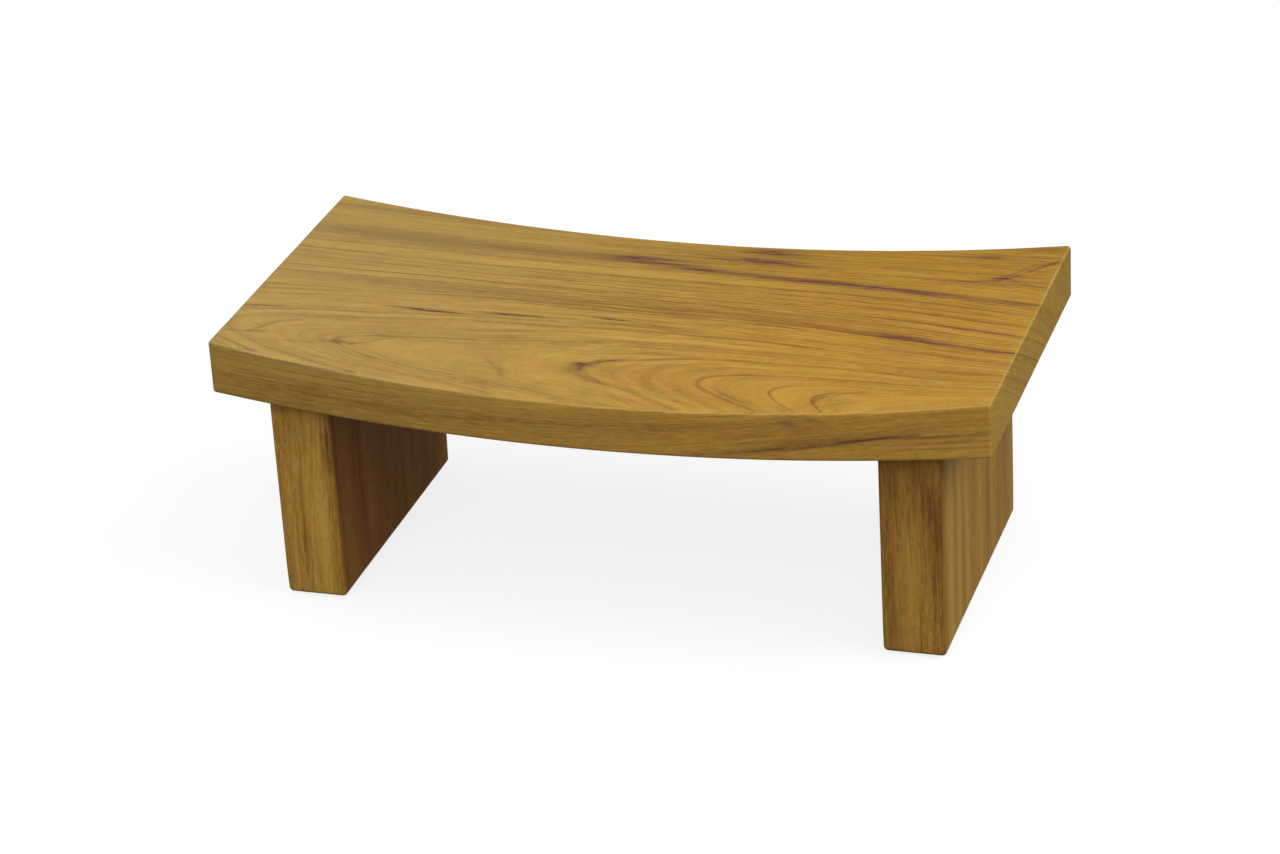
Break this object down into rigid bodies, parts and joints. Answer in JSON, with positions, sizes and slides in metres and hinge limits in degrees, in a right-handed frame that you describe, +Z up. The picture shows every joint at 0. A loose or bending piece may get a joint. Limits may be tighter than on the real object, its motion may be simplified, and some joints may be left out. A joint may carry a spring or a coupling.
{
  "type": "bath step",
  "caption": "Low solid-wood bath step: a plank top dished along its length, on two upright slab legs, with rubber foot pads screwed under the legs.",
  "frame": {"origin": "on the floor, at the middle of the plank's length and depth", "axes": "+X along the step to its right end, seen from the front; +Y from the front edge to the back edge; +Z up"},
  "size_m": [0.5, 0.252, 0.1817],
  "materials": {
    "teak": "satin, oiled golden brown",
    "dowel_wood": "bare, pale",
    "pad_rubber": "matt black",
    "stainless_steel": "satin"
  },
  "bodies": {
    "root": {"top_plank": "teak", "left_leg": "teak", "right_leg": "teak", "left_leg_dowels": "dowel_wood", "right_leg_dowels": "dowel_wood", "front_left_foot_pad": "pad_rubber", "back_left_foot_pad": "pad_rubber", "front_right_foot_pad": "pad_rubber", "back_right_foot_pad": "pad_rubber", "foot_pad_screws": "stainless_steel"}
  },
  "joints": []
}
